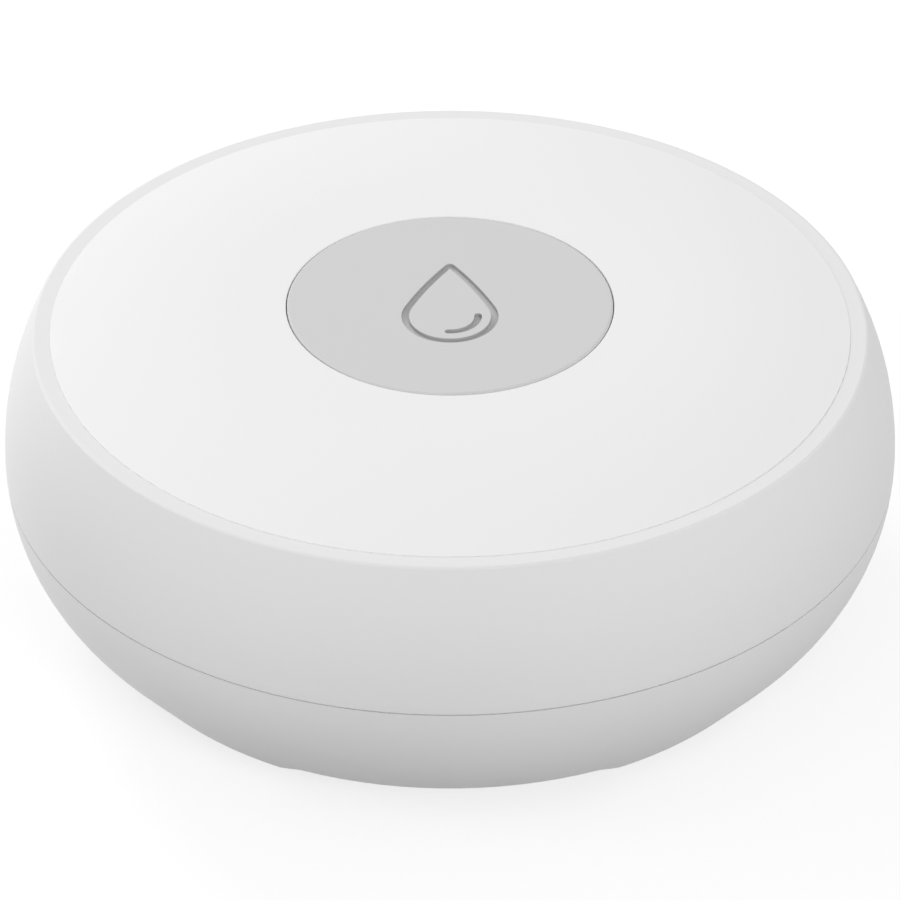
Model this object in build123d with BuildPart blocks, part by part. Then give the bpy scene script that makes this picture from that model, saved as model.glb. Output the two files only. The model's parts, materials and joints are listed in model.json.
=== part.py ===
from build123d import *
import os
from math import atan2, cos, degrees, hypot, radians, sin, sqrt, tan

os.makedirs("parts", exist_ok=True)

# Water leak sensor: a round puck that stands on four soft pads. Millimetres, Z up.
# The origin is on the floor, on the axis of the puck. The front is towards -Y.

# Clearances shared by the pieces
running_gap = 0.12  # between pieces that move past each other
seat_gap = 0.05  # between pieces that drop into one another and stay
cut_overrun = 2.0  # how far a cut runs past what it cuts

# Battery cells, lying side by side along X
cell_length = 44.5
cell_diameter = 10.4
cell_side_gap = 0.2
cell_nub_diameter = 3.8
cell_nub_length = 1.0
cell_edge = 0.5
cell_floor_gap = 0.61  # under the cells, above the floor of the lower shell
cell_roof_gap = 0.3  # above the cells, under the chassis plate

# Battery contacts
contact_thickness = 0.35
contact_width = 8.4
contact_height = 7.6
contact_tab_width = 2.0
contact_tab_proud = 0.6  # soldered end above the circuit board
cell_spring_length = 1.85
cell_spring_radius = 2.9
cell_spring_tip_radius = 1.9
cell_spring_wire = 0.4
cell_spring_pitch = 0.6

# Chassis that carries the cells and the circuit board
chassis_plate = 1.2
chassis_margin = 0.1
bay_end_wall = 1.4
bay_side_wall = 1.2
bay_side_length = 30.0
bay_wall_grip = 2.0  # how far the side walls reach below the axis of the cells
bay_end_depth_share = 0.92  # of the cell diameter
board_standoff = 0.6
standoff_radius = 2.6
switch_support_radius = 4.0

# Circuit board and what is soldered on it
board_thickness = 1.0
board_edge_gap = 0.6
switch_width = 6.0
switch_height = 3.95  # board to the tip of the plunger
switch_body_height = 3.4
plunger_radius = 1.75
plunger_depth = 1.5  # inside the switch body
press_travel = 0.3
press_spare = 0.3  # left under the plunger when pressed
module_length = 13.0
module_width = 11.0
module_board = 0.8
module_tab_gap = 0.2  # to the tabs of the battery contacts
shield_height = 1.7
shield_margin = 0.6
antenna_length = 7.0
antenna_width = 2.0
antenna_height = 1.1
buzzer_radius = 5.6
buzzer_height = 2.4
buzzer_port_radius = 0.8
buzzer_place_radius = 16.4
led_length = 2.0
led_width = 1.25
led_height = 0.8
led_place_radius = 7.4
controller_width = 5.0
controller_height = 0.9
controller_place = 10.0
capacitor_length = 5.0
capacitor_width = 3.2
capacitor_height = 1.9
capacitor_place = 11.5

# Screws that hold chassis and board under the deck
screw_spacing_x = 28.0
screw_spacing_y = 34.0
screw_shank_radius = 0.9
screw_head_radius = 1.9
screw_head_height = 1.3
screw_grip = 2.3  # inside the boss
screw_slot_width = 0.5
screw_slot_length = 2.4
screw_slot_depth = 0.6
boss_radius = 2.3
boss_bore_end = 0.4

# Twist lock between the two shells
lock_count = 3
twist_angle = 22.0
hook_angle = 14.0
hook_space = 1.1  # between the chassis and the hooks
hook_neck = 1.1
hook_root = 2.0
lug_reach = 1.05
lug_thickness = 1.3
lug_gap = 0.1
ledge_thickness = 1.2
ledge_side_gap = 3.0  # degrees beside a hook in its entry
ledge_lift = 0.35  # over the spigot
stop_angle = 3.0
stop_gap_angle = 0.8

# Spigot of the lower shell and its seal
spigot_wall = 2.44
spigot_gap = 0.1
spigot_height = 2.4
groove_depth = 1.1
groove_width = 1.5
groove_lift = 0.4
seal_section_radius = 0.54

# Outline of the puck
lip_wall = 1.6
side_bulge_radius = 22.14
under_bulge_radius = 13.88
flank_angle = 40.1
rim_over_widest = 10.13
rim_fillet = 0.25
seam_drop = 0.7
seam_gap = 0.1
shell_wall = 1.8

# Underside
pad_proud = 1.0
channel_height = 1.19
channel_half_width = 12.3  # at the skirt
channel_run = 1.6  # of each sloping end
channel_fillet = 0.7
floor_thickness = 1.6
recess_radius = 18.6
pad_count = 4
pad_circle_radius = 21.5
pad_radius = 2.4
pad_pocket = 0.8
pad_edge = 0.3
skirt_edge = 0.15

# Probes through the floor
probe_circle_radius = 19.2
probe_spread = 15.0  # degrees either side of a channel's middle
probe_head_radius = 2.2
probe_tip_height = 0.5
probe_dome = 0.6
probe_shank_radius = 1.0
probe_end = 0.4
probe_seal_section = 0.3
probe_seal_radius = 1.5
nut_across_flats = 3.8
nut_thickness = 1.5
nut_bore_gap = 0.04
contact_spring_radius = 1.35
contact_spring_wire = 0.4
contact_spring_pitch = 1.4

# Top cover, with the button hole
cover_rise = 0.05  # of its edge above the rim
cover_edge_height = 1.5
cover_wall = 1.5
cover_seat_width = 2.6
cover_edge_fillet = 0.03
cover_gap = 0.01  # round the cover, inside the rim
rim_band = 1.27
dome_rise = 1.71
dome_flat_radius = 16.0
button_hole_radius = 12.0
button_hole_edge = 0.1
tape_thickness = 0.2
tape_width = 2.0
tape_inset = 0.3
clamp_ring_wall = 2.4
clamp_ring_gap = 0.8  # round the flange of the button
snap_count = 4
snap_tape_gap = 1.83  # between a catch and the adhesive ring
snap_thickness = 1.0
snap_width = 3.6
snap_catch = 0.55
snap_catch_height = 0.8
snap_slot_gap = 0.2

# Deck of the upper shell
deck_thickness = 1.2
deck_opening_inset = 0.2

# Button
button_gap = 0.07  # round the button, inside its hole
button_proud = 0.05  # above the cover
button_cap_wall = 1.4
button_edge = 0.18
button_flange_reach = 1.35
button_flange_thickness = 0.8
button_flange_gap = 0.16
button_skirt_wall = 1.6
button_post_radius = 2.0

# Silicone sheet under the button
sheet_thickness = 0.4
sheet_margin = 0.1
sheet_fold_radius = 6.6
sheet_fold_width = 2.4
sheet_fold_height = 0.6

# Water drop on the button: a groove in outline, with a curved highlight inside it
drop_radius = 3.26
drop_centre = 1.75  # in front of the axis
drop_tip = 5.15  # behind the axis
drop_blend_angle = 22.0
drop_tip_radius = 0.38  # on the outside
drop_groove_width = 0.56
drop_groove_depth = 0.3
glint_radius = 2.05
glint_start = -93.0
glint_sweep = 96.0
glint_width = 0.56

# Heights, from the floor up
skirt_z = pad_proud
underside_z = skirt_z + channel_height
floor_z = underside_z + floor_thickness
cell_z = floor_z + cell_floor_gap + cell_diameter / 2
plate_low_z = cell_z + cell_diameter / 2 + cell_roof_gap
plate_top_z = plate_low_z + chassis_plate
board_low_z = plate_top_z + board_standoff
board_z = board_low_z + board_thickness
deck_z = board_z + switch_height
deck_low_z = deck_z - deck_thickness
cover_seat_z = deck_z + tape_thickness
cover_edge_z = cover_seat_z + cover_edge_height
rim_z = cover_edge_z - cover_rise
widest_z = rim_z - rim_over_widest
seam_z = widest_z - seam_drop
top_z = cover_edge_z + dome_rise
cover_low_z = top_z - cover_wall

# Radii, from the cells outwards
cell_y = (cell_diameter + cell_side_gap) / 2
bay_x = (cell_length + cell_spring_length + 2 * contact_thickness + seat_gap) / 2
bay_y = cell_y + (cell_diameter + cell_side_gap) / 2
chassis_radius = hypot(bay_x + bay_end_wall, bay_y) + chassis_margin
hook_bore = chassis_radius + hook_space
hook_radius = hook_bore + hook_neck
ledge_radius = hook_radius + running_gap
spigot_bore = hook_bore + hook_neck / 2
spigot_radius = spigot_bore + spigot_wall
lip_radius = spigot_radius + spigot_gap
max_radius = lip_radius + lip_wall

# The outline in section: a large arc above the widest plane, a smaller one below, then a straight flank
side_centre = max_radius - side_bulge_radius
under_centre = max_radius - under_bulge_radius


def side_radius(z, inset=0):
    return side_centre + sqrt((side_bulge_radius - inset) ** 2 - (z - widest_z) ** 2)


def under_point(angle, inset=0):
    reach = under_bulge_radius - inset
    return (under_centre + reach * cos(radians(angle)), widest_z - reach * sin(radians(angle)))


def under_angle(drop, inset=0):
    reach = under_bulge_radius - inset
    return degrees(atan2(drop, sqrt(reach**2 - drop**2)))


def flank_radius(z, inset=0):
    point_r, point_z = under_point(flank_angle, inset)
    return point_r - (point_z - z) * tan(radians(flank_angle))


# A ring segment: points (radius, height) turned about Z, from an angle and over a width in degrees
def section_sketch(angle, *points):
    with BuildSketch(Plane.XZ.rotated((0, 0, angle))) as section:
        with BuildLine():
            Polyline(*points, close=True)
        make_face()
    return section.sketch


def coil_path(radius, tip_radius, pitch, height, centre, direction):
    slope = degrees(atan2(radius - tip_radius, height))
    with BuildLine() as path:
        Helix(pitch, height, radius, center=centre, direction=direction, cone_angle=-slope)
    return path


def save(builder, name):
    builder.part.label = name
    export_step(builder.part, f"parts/{name}.step")


screw_places = [
    (side_x * screw_spacing_x / 2, side_y * screw_spacing_y / 2)
    for side_x in (1, -1)
    for side_y in (1, -1)
]
probe_angles = [front + side * probe_spread for front in (90, 270) for side in (-1, 1)]
probe_places = [
    (probe_circle_radius * cos(radians(angle)), probe_circle_radius * sin(radians(angle)))
    for angle in probe_angles
]

# Lower shell: bowl, floor, spigot and hooks
seam_low_z = seam_z - seam_gap / 2
seam_low_angle = under_angle(widest_z - seam_low_z)
spigot_top_z = seam_z + spigot_height
cove_angle = under_angle(
    sqrt((under_bulge_radius - shell_wall) ** 2 - (spigot_bore - under_centre) ** 2), shell_wall
)
groove_low_z = seam_z + groove_lift
ledge_low_z = spigot_top_z + ledge_lift
ledge_top_z = ledge_low_z + ledge_thickness
lug_low_z = ledge_top_z + lug_gap
lug_top_z = lug_low_z + lug_thickness
lug_radius = hook_radius + lug_reach
entry_angle = -twist_angle  # centre of an entry, counted from the hook when locked

with BuildPart() as lower_shell:
    with BuildSketch(Plane.XZ) as bowl_section:
        with BuildLine():
            Line((0, skirt_z), (flank_radius(skirt_z), skirt_z))
            Line((flank_radius(skirt_z), skirt_z), under_point(flank_angle))
            ThreePointArc(
                under_point(flank_angle),
                under_point((flank_angle + seam_low_angle) / 2),
                under_point(seam_low_angle),
            )
            Polyline(
                under_point(seam_low_angle),
                (spigot_radius, seam_low_z),
                (spigot_radius, groove_low_z),
                (spigot_radius - groove_depth, groove_low_z),
                (spigot_radius - groove_depth, groove_low_z + groove_width),
                (spigot_radius, groove_low_z + groove_width),
                (spigot_radius, spigot_top_z),
                (spigot_bore, spigot_top_z),
                under_point(cove_angle, shell_wall),
            )
            ThreePointArc(
                under_point(cove_angle, shell_wall),
                under_point((cove_angle + flank_angle) / 2, shell_wall),
                under_point(flank_angle, shell_wall),
            )
            Polyline(
                under_point(flank_angle, shell_wall),
                (flank_radius(floor_z, shell_wall), floor_z),
                (0, floor_z),
                (0, skirt_z),
            )
        make_face()
    revolve(axis=Axis.Z)
    fillet(edges().group_by(Axis.Z)[0], radius=skirt_edge)
    # Shallow recess under the floor, and the channels that let water in from each side
    with BuildSketch(Plane.XY.offset(skirt_z)) as recess:
        Circle(recess_radius)
    extrude(amount=channel_height, mode=Mode.SUBTRACT)
    for channel_plane in (Plane.XZ, Plane.YZ):
        with BuildSketch(channel_plane) as channel:
            with BuildLine():
                Polyline(
                    (-channel_half_width - cut_overrun, skirt_z - cut_overrun),
                    (-channel_half_width - cut_overrun, skirt_z),
                    (-channel_half_width, skirt_z),
                    (-channel_half_width + channel_run, underside_z),
                    (channel_half_width - channel_run, underside_z),
                    (channel_half_width, skirt_z),
                    (channel_half_width + cut_overrun, skirt_z),
                    (channel_half_width + cut_overrun, skirt_z - cut_overrun),
                    close=True,
                )
            make_face()
            channel_corners = vertices().filter_by(lambda corner: abs(corner.X) <= channel_half_width)
            fillet(channel_corners, radius=channel_fillet)
        extrude(amount=max_radius, both=True, mode=Mode.SUBTRACT)
    # Pockets for the foot pads
    with BuildSketch(Plane.XY.offset(skirt_z)) as pockets:
        with PolarLocations(pad_circle_radius, pad_count, start_angle=180 / pad_count):
            Circle(pad_radius + seat_gap)
    extrude(amount=pad_pocket, mode=Mode.SUBTRACT)
    # Probe holes, each with a seat for its seal
    with BuildSketch(Plane.XY.offset(underside_z)) as probe_holes:
        with Locations(*probe_places):
            Circle(probe_shank_radius + seat_gap)
    extrude(amount=floor_thickness, mode=Mode.SUBTRACT)
    with BuildSketch(Plane.XY.offset(underside_z)) as seal_seats:
        with Locations(*probe_places):
            Circle(probe_seal_radius + probe_seal_section + seat_gap)
    extrude(amount=2 * probe_seal_section, mode=Mode.SUBTRACT)
    # Hooks of the twist lock
    for step in range(lock_count):
        start = 360 / lock_count * step - hook_angle / 2
        hook = section_sketch(
            start,
            (hook_bore, spigot_top_z - hook_root),
            (spigot_bore + seat_gap, spigot_top_z - hook_root - hook_neck),
            (spigot_bore + seat_gap, spigot_top_z - seat_gap),
            (hook_radius, spigot_top_z - seat_gap),
            (hook_radius, lug_low_z),
            (lug_radius, lug_low_z),
            (lug_radius, lug_top_z),
            (hook_bore, lug_top_z),
        )
        revolve(hook, axis=Axis.Z, revolution_arc=hook_angle)
save(lower_shell, "lower_shell")

# Seal ring in the groove of the spigot
with BuildPart() as base_seal:
    with BuildSketch(Plane.XZ) as seal_section:
        with Locations((lip_radius - seat_gap - seal_section_radius, groove_low_z + groove_width / 2)):
            Circle(seal_section_radius)
    revolve(axis=Axis.Z)
save(base_seal, "base_seal")

# Foot pads
for step in range(pad_count):
    with BuildPart() as foot_pad:
        with BuildSketch(Plane.XY.rotated((0, 0, 360 / pad_count * (step + 1 / 2)))) as pad_outline:
            with Locations((pad_circle_radius, 0)):
                Circle(pad_radius)
        extrude(amount=pad_proud + pad_pocket)
        fillet(foot_pad.edges().group_by(Axis.Z)[0], radius=pad_edge)
    save(foot_pad, f"foot_pad_{step + 1}")

# Probes: a domed head under the floor and a shank through it, with a seal and a nut
shank_top_z = floor_z + nut_thickness + probe_end
for number, place in enumerate(probe_places, 1):
    with BuildPart() as probe:
        with BuildSketch(Plane.XY.offset(probe_tip_height)) as head:
            with Locations(place):
                Circle(probe_head_radius)
        extrude(amount=underside_z - probe_tip_height)
        fillet(probe.edges().group_by(Axis.Z)[0], radius=probe_dome)
        with BuildSketch(Plane.XY.offset(underside_z)) as shank:
            with Locations(place):
                Circle(probe_shank_radius)
        extrude(amount=shank_top_z - underside_z)
        chamfer(probe.edges().group_by(Axis.Z)[-1], length=probe_end / 2)
    save(probe, f"probe_{number}")

    with BuildPart() as probe_seal:
        with BuildSketch(Plane.XZ.offset(-place[1])) as ring_section:
            with Locations((place[0] + probe_seal_radius, underside_z + probe_seal_section)):
                Circle(probe_seal_section)
        revolve(axis=Axis((place[0], place[1], 0), (0, 0, 1)))
    save(probe_seal, f"probe_seal_{number}")

with BuildPart() as probe_nuts:
    with BuildSketch(Plane.XY.offset(floor_z)) as nut_outline:
        with Locations(*probe_places):
            RegularPolygon(nut_across_flats / 2, 6, major_radius=False)
            Circle(probe_shank_radius + nut_bore_gap, mode=Mode.SUBTRACT)
    extrude(amount=nut_thickness)
save(probe_nuts, "probe_nuts")

# Upper shell: side wall, rim, deck under the cover, screw bosses and the ledge of the twist lock
seam_high_z = seam_z + seam_gap / 2
seam_high_angle = under_angle(widest_z - seam_high_z)
cover_radius = side_radius(rim_z) - rim_band
cover_pocket = cover_radius + cover_gap
tape_bore = cover_radius - tape_inset - tape_width
snap_radius = tape_bore - snap_tape_gap - snap_catch - snap_thickness
button_radius = button_hole_radius - button_gap
flange_radius = button_radius + button_flange_reach
clamp_bore = flange_radius + clamp_ring_gap
clamp_radius = clamp_bore + clamp_ring_wall
deck_opening = clamp_bore - deck_opening_inset

wall_half_z = (widest_z + rim_z) / 2
inner_half_z = (deck_low_z + ledge_top_z) / 2

with BuildPart() as upper_shell:
    with BuildSketch(Plane.XZ) as wall_section:
        with BuildLine():
            ThreePointArc(
                under_point(seam_high_angle),
                under_point(seam_high_angle / 2),
                (max_radius, widest_z),
            )
            ThreePointArc(
                (max_radius, widest_z),
                (side_radius(wall_half_z), wall_half_z),
                (side_radius(rim_z), rim_z),
            )
            Polyline(
                (side_radius(rim_z), rim_z),
                (cover_pocket, rim_z),
                (cover_pocket, deck_z),
                (deck_opening, deck_z),
                (deck_opening, deck_low_z),
                (side_radius(deck_low_z, shell_wall), deck_low_z),
            )
            ThreePointArc(
                (side_radius(deck_low_z, shell_wall), deck_low_z),
                (side_radius(inner_half_z, shell_wall), inner_half_z),
                (side_radius(ledge_top_z, shell_wall), ledge_top_z),
            )
            Polyline(
                (side_radius(ledge_top_z, shell_wall), ledge_top_z),
                (lip_radius, ledge_low_z),
                (lip_radius, seam_high_z),
                under_point(seam_high_angle),
            )
        make_face()
    revolve(axis=Axis.Z)
    rim_edges = edges().filter_by(GeomType.CIRCLE).group_by(Axis.Z)[-1]
    fillet(rim_edges.sort_by(SortBy.RADIUS)[-1], radius=rim_fillet)
    # Ledge in segments: a hook enters between two of them and turns over the next
    ledge_root = (lip_radius + side_radius(widest_z)) / 2
    entry_start = entry_angle - hook_angle / 2 - stop_gap_angle
    entry_end = entry_angle + hook_angle / 2 + ledge_side_gap
    for step in range(lock_count):
        turn = 360 / lock_count * step
        ledge = section_sketch(
            turn + entry_end,
            (ledge_radius, ledge_low_z),
            (ledge_root, ledge_low_z),
            (ledge_root, ledge_top_z),
            (ledge_radius, ledge_top_z),
        )
        revolve(ledge, axis=Axis.Z, revolution_arc=360 / lock_count - (entry_end - entry_start))
        # Stops: one beside the entry, one past the locked hook
        for stop_start in (entry_start - stop_angle, hook_angle / 2 + stop_gap_angle):
            stop = section_sketch(
                turn + stop_start,
                (ledge_radius, ledge_low_z),
                (ledge_root, ledge_low_z),
                (ledge_root, ledge_top_z),
                (side_radius(lug_top_z, shell_wall / 2), lug_top_z),
                (ledge_radius, lug_top_z),
            )
            revolve(stop, axis=Axis.Z, revolution_arc=stop_angle)
    # Bosses that stand on the circuit board
    with BuildSketch(Plane.XY.offset(board_z)) as boss_outline:
        with Locations(*screw_places):
            Circle(boss_radius)
    extrude(amount=deck_low_z - board_z)
    with BuildSketch(Plane.XY.offset(board_z)) as boss_bores:
        with Locations(*screw_places):
            Circle(screw_shank_radius + seat_gap)
    extrude(amount=screw_grip + boss_bore_end, mode=Mode.SUBTRACT)
    # Slots for the snap hooks of the cover
    slot_depth = snap_thickness + 2 * snap_slot_gap
    with BuildSketch(Plane.XY.offset(deck_low_z)) as snap_slots:
        with PolarLocations(snap_radius + snap_thickness / 2, snap_count):
            Rectangle(slot_depth, snap_width + 2 * snap_slot_gap)
    extrude(amount=deck_thickness, mode=Mode.SUBTRACT)
save(upper_shell, "upper_shell")

# Adhesive ring between deck and cover
with BuildPart() as cover_tape:
    with BuildSketch(Plane.XY.offset(deck_z)) as tape_outline:
        Circle(cover_radius - tape_inset)
        Circle(tape_bore, mode=Mode.SUBTRACT)
    extrude(amount=tape_thickness)
save(cover_tape, "cover_tape")

# Top cover: flat in the middle, curving down to its edge
dome_run = cover_radius - dome_flat_radius
dome_radius = (dome_run**2 + dome_rise**2) / (2 * dome_rise)
dome_centre_z = top_z - dome_radius


def dome_z(radius, inset=0):
    return dome_centre_z + sqrt((dome_radius - inset) ** 2 - (radius - dome_flat_radius) ** 2)


seat_bore = cover_radius - cover_seat_width
sheet_z = deck_z + sheet_thickness
dome_half = (dome_flat_radius + cover_radius) / 2
under_half = (clamp_radius + seat_bore) / 2
with BuildPart() as top_cover:
    with BuildSketch(Plane.XZ) as cover_section:
        with BuildLine():
            Line((button_hole_radius, top_z), (dome_flat_radius, top_z))
            ThreePointArc(
                (dome_flat_radius, top_z),
                (dome_half, dome_z(dome_half)),
                (cover_radius, cover_edge_z),
            )
            Polyline(
                (cover_radius, cover_edge_z),
                (cover_radius, cover_seat_z),
                (seat_bore, cover_seat_z),
                (seat_bore, dome_z(seat_bore, cover_wall)),
            )
            ThreePointArc(
                (seat_bore, dome_z(seat_bore, cover_wall)),
                (under_half, dome_z(under_half, cover_wall)),
                (clamp_radius, dome_z(clamp_radius, cover_wall)),
            )
            Polyline(
                (clamp_radius, dome_z(clamp_radius, cover_wall)),
                (clamp_radius, sheet_z),
                (clamp_bore, sheet_z),
                (clamp_bore, cover_low_z),
                (button_hole_radius, cover_low_z),
                (button_hole_radius, top_z),
            )
        make_face()
    revolve(axis=Axis.Z)
    cover_edge = edges().filter_by(GeomType.CIRCLE).filter_by(
        lambda edge: abs(edge.radius - cover_radius) < seat_gap and edge.center().Z > rim_z
    )
    fillet(cover_edge, radius=cover_edge_fillet)
    hole_edges = edges().filter_by(GeomType.CIRCLE).group_by(Axis.Z)[-1]
    fillet(hole_edges.sort_by(SortBy.RADIUS)[0], radius=button_hole_edge)
    # Snap hooks: a stem through the deck and a catch under it
    catch_reach = snap_radius + snap_thickness + snap_catch
    catch_top_z = deck_low_z - seat_gap
    catch_low_z = catch_top_z - snap_catch_height
    stem_top_z = dome_z(snap_radius + snap_thickness, cover_wall) + seat_gap
    for step in range(snap_count):
        snap_plane = Plane.XZ.rotated((0, 0, 360 / snap_count * step)).offset(-snap_width / 2)
        with BuildSketch(snap_plane) as snap_section:
            with BuildLine():
                Polyline(
                    (snap_radius, stem_top_z),
                    (snap_radius, catch_low_z),
                    (snap_radius + snap_thickness, catch_low_z),
                    (catch_reach, catch_low_z + snap_catch_height / 2),
                    (catch_reach, catch_top_z),
                    (snap_radius + snap_thickness, catch_top_z),
                    (snap_radius + snap_thickness, stem_top_z),
                    close=True,
                )
            make_face()
        extrude(amount=snap_width)
save(top_cover, "top_cover")

# Silicone sheet between cover and deck, with a fold that lets its middle move
fold_end = sheet_fold_radius + sheet_fold_width
with BuildPart() as button_seal:
    with BuildSketch(Plane.XZ) as sheet_section:
        with BuildLine():
            Polyline(
                (0, deck_z),
                (sheet_fold_radius, deck_z),
                (sheet_fold_radius + sheet_thickness, deck_z + sheet_fold_height),
                (fold_end - sheet_thickness, deck_z + sheet_fold_height),
                (fold_end, deck_z),
                (clamp_radius - sheet_margin, deck_z),
                (clamp_radius - sheet_margin, sheet_z),
                (fold_end + sheet_thickness / 2, sheet_z),
                (fold_end - sheet_thickness / 2, sheet_z + sheet_fold_height),
                (sheet_fold_radius + sheet_thickness / 2, sheet_z + sheet_fold_height),
                (sheet_fold_radius - sheet_thickness / 2, sheet_z),
                (0, sheet_z),
                close=True,
            )
        make_face()
    revolve(axis=Axis.Z)
save(button_seal, "button_seal")

# Button: a cap with a flange under the cover and a post over the switch
button_top_z = top_z + button_proud
flange_top_z = cover_low_z - button_flange_gap
flange_low_z = flange_top_z - button_flange_thickness

# The drop: an arc round its foot, and on each side a limb, a larger arc that runs on to the tip
drop_blend = radians(drop_blend_angle)
blend_x = drop_radius * cos(drop_blend)
blend_y = drop_radius * sin(drop_blend) - drop_centre
tip_rise = drop_tip - blend_y
tip_lean = blend_x * cos(drop_blend) - tip_rise * sin(drop_blend)
limb_radius = (blend_x**2 + tip_rise**2) / (2 * tip_lean)
limb_x = blend_x - limb_radius * cos(drop_blend)
limb_y = blend_y - limb_radius * sin(drop_blend)


# The drop's outline, drawn in by an inset all the way round
def drop_face(inset):
    tip = (0, limb_y + sqrt((limb_radius - inset) ** 2 - limb_x**2))
    foot_radius = drop_radius - inset
    with BuildSketch() as face:
        with BuildLine():
            foot = CenterArc(
                (0, -drop_centre), foot_radius, 180 - drop_blend_angle, 180 + 2 * drop_blend_angle
            )
            TangentArc(foot @ 1, tip, tangent=foot % 1)
            TangentArc(foot @ 0, tip, tangent=-(foot % 0))
        make_face()
    return face.sketch


with BuildPart() as button_cap:
    with BuildSketch(Plane.XZ) as cap_section:
        with BuildLine():
            Polyline(
                (0, button_top_z),
                (button_radius, button_top_z),
                (button_radius, flange_top_z),
                (flange_radius, flange_top_z),
                (flange_radius, flange_low_z),
                (button_radius - button_skirt_wall, flange_low_z),
                (button_radius - button_skirt_wall, button_top_z - button_cap_wall),
                (button_post_radius, button_top_z - button_cap_wall),
                (button_post_radius, sheet_z),
                (0, sheet_z),
                close=True,
            )
        make_face()
    revolve(axis=Axis.Z)
    fillet(edges().group_by(Axis.Z)[-1], radius=button_edge)
    # Groove of the drop: its outer outline without its inner one
    with BuildSketch(Plane.XY.offset(button_top_z - drop_groove_depth)) as groove:
        add(drop_face(-drop_groove_width / 2))
        fillet(vertices().group_by(Axis.Y)[-1], radius=drop_tip_radius)
        add(drop_face(drop_groove_width / 2), mode=Mode.SUBTRACT)
        glint_line = CenterArc((0, 0), glint_radius, glint_start, glint_sweep, mode=Mode.PRIVATE)
        with Locations((0, -drop_centre)):
            SlotArc(glint_line, glint_width)
    extrude(amount=drop_groove_depth + cut_overrun, mode=Mode.SUBTRACT)
save(button_cap, "button_cap")

# Switch under the button
with BuildPart() as switch_body:
    with BuildSketch(Plane.XY.offset(board_z)) as switch_outline:
        Rectangle(switch_width, switch_width)
    extrude(amount=switch_body_height)
    with BuildSketch(Plane.XY.offset(board_z + switch_body_height)) as plunger_hole:
        Circle(plunger_radius + seat_gap)
    extrude(amount=-plunger_depth - press_travel - press_spare, mode=Mode.SUBTRACT)
save(switch_body, "switch_body")

with BuildPart() as switch_plunger:
    with BuildSketch(Plane.XY.offset(board_z + switch_body_height - plunger_depth)) as plunger_outline:
        Circle(plunger_radius)
    extrude(amount=deck_z - (board_z + switch_body_height - plunger_depth))
save(switch_plunger, "switch_plunger")

# Circuit board, with the slots for the contact tabs
board_radius = chassis_radius - board_edge_gap
tab_slot = contact_thickness + 2 * seat_gap
tab_x = bay_x - contact_thickness / 2
tab_places = [(side * tab_x, row * cell_y) for side in (1, -1) for row in (1, -1)]
with BuildPart() as circuit_board:
    with BuildSketch(Plane.XY.offset(board_low_z)) as board_outline:
        Circle(board_radius)
        with Locations(*screw_places):
            Circle(screw_shank_radius + running_gap, mode=Mode.SUBTRACT)
        with Locations(*tab_places):
            Rectangle(tab_slot, contact_tab_width + 2 * seat_gap, mode=Mode.SUBTRACT)
    extrude(amount=board_thickness)
save(circuit_board, "circuit_board")


# A block that stands on the circuit board or on another component
def save_component(name, place, outline, height, low_z):
    with BuildPart() as component:
        with BuildSketch(Plane.XY.offset(low_z)):
            with Locations(place):
                Rectangle(*outline)
        extrude(amount=height)
    save(component, name)


module_place = (module_tab_gap + module_length / 2 + contact_thickness - bay_x, 0)
shield_outline = (module_length - 2 * shield_margin, module_width - 2 * shield_margin)
save_component("radio_board", module_place, (module_length, module_width), module_board, board_z)
save_component("radio_shield", module_place, shield_outline, shield_height, board_z + module_board)
antenna_outline = (antenna_length, antenna_width)
save_component("antenna", (0, -buzzer_place_radius), antenna_outline, antenna_height, board_z)
save_component("status_led", (0, led_place_radius), (led_length, led_width), led_height, board_z)
chip_place = (controller_place, controller_place)
chip_outline = (controller_width, controller_width)
save_component("controller_chip", chip_place, chip_outline, controller_height, board_z)
case_place = (capacitor_place, -capacitor_place)
case_outline = (capacitor_length, capacitor_width)
save_component("capacitor", case_place, case_outline, capacitor_height, board_z)

# Buzzer, with its sound port
with BuildPart() as buzzer:
    with BuildSketch(Plane.XY.offset(board_z)) as buzzer_outline:
        with Locations((0, buzzer_place_radius)):
            Circle(buzzer_radius)
    extrude(amount=buzzer_height)
    with BuildSketch(Plane.XY.offset(board_z + buzzer_height)) as port:
        with Locations((0, buzzer_place_radius)):
            Circle(buzzer_port_radius)
    extrude(amount=-buzzer_height / 2, mode=Mode.SUBTRACT)
save(buzzer, "buzzer")

# Chassis: a round plate, the walls of the battery bay under it and the standoffs on it
with BuildPart() as chassis:
    with BuildSketch(Plane.XY.offset(plate_low_z)) as plate_outline:
        Circle(chassis_radius)
    extrude(amount=chassis_plate)
    with BuildSketch(Plane.XY.offset(plate_low_z)) as end_walls:
        with Locations((bay_x + bay_end_wall / 2, 0), (-bay_x - bay_end_wall / 2, 0)):
            Rectangle(bay_end_wall, 2 * bay_y)
    extrude(amount=-(cell_roof_gap + cell_diameter * bay_end_depth_share))
    with BuildSketch(Plane.XY.offset(plate_low_z)) as side_walls:
        with Locations((0, bay_y + bay_side_wall / 2), (0, -bay_y - bay_side_wall / 2)):
            Rectangle(bay_side_length, bay_side_wall)
    extrude(amount=-(plate_low_z - cell_z + bay_wall_grip))
    with BuildSketch(Plane.XY.offset(plate_top_z)) as standoffs:
        with Locations(*screw_places):
            Circle(standoff_radius)
        with Locations((0, 0)):
            Circle(switch_support_radius)
    extrude(amount=board_standoff)
    with BuildSketch(Plane.XY.offset(plate_low_z)) as plate_holes:
        with Locations(*screw_places):
            Circle(screw_shank_radius + running_gap)
        with Locations(*probe_places):
            Circle(contact_spring_radius + contact_spring_wire)
        with Locations(*tab_places):
            Rectangle(tab_slot, contact_tab_width + 2 * seat_gap)
    extrude(amount=chassis_plate + board_standoff, mode=Mode.SUBTRACT)
save(chassis, "chassis")

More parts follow.
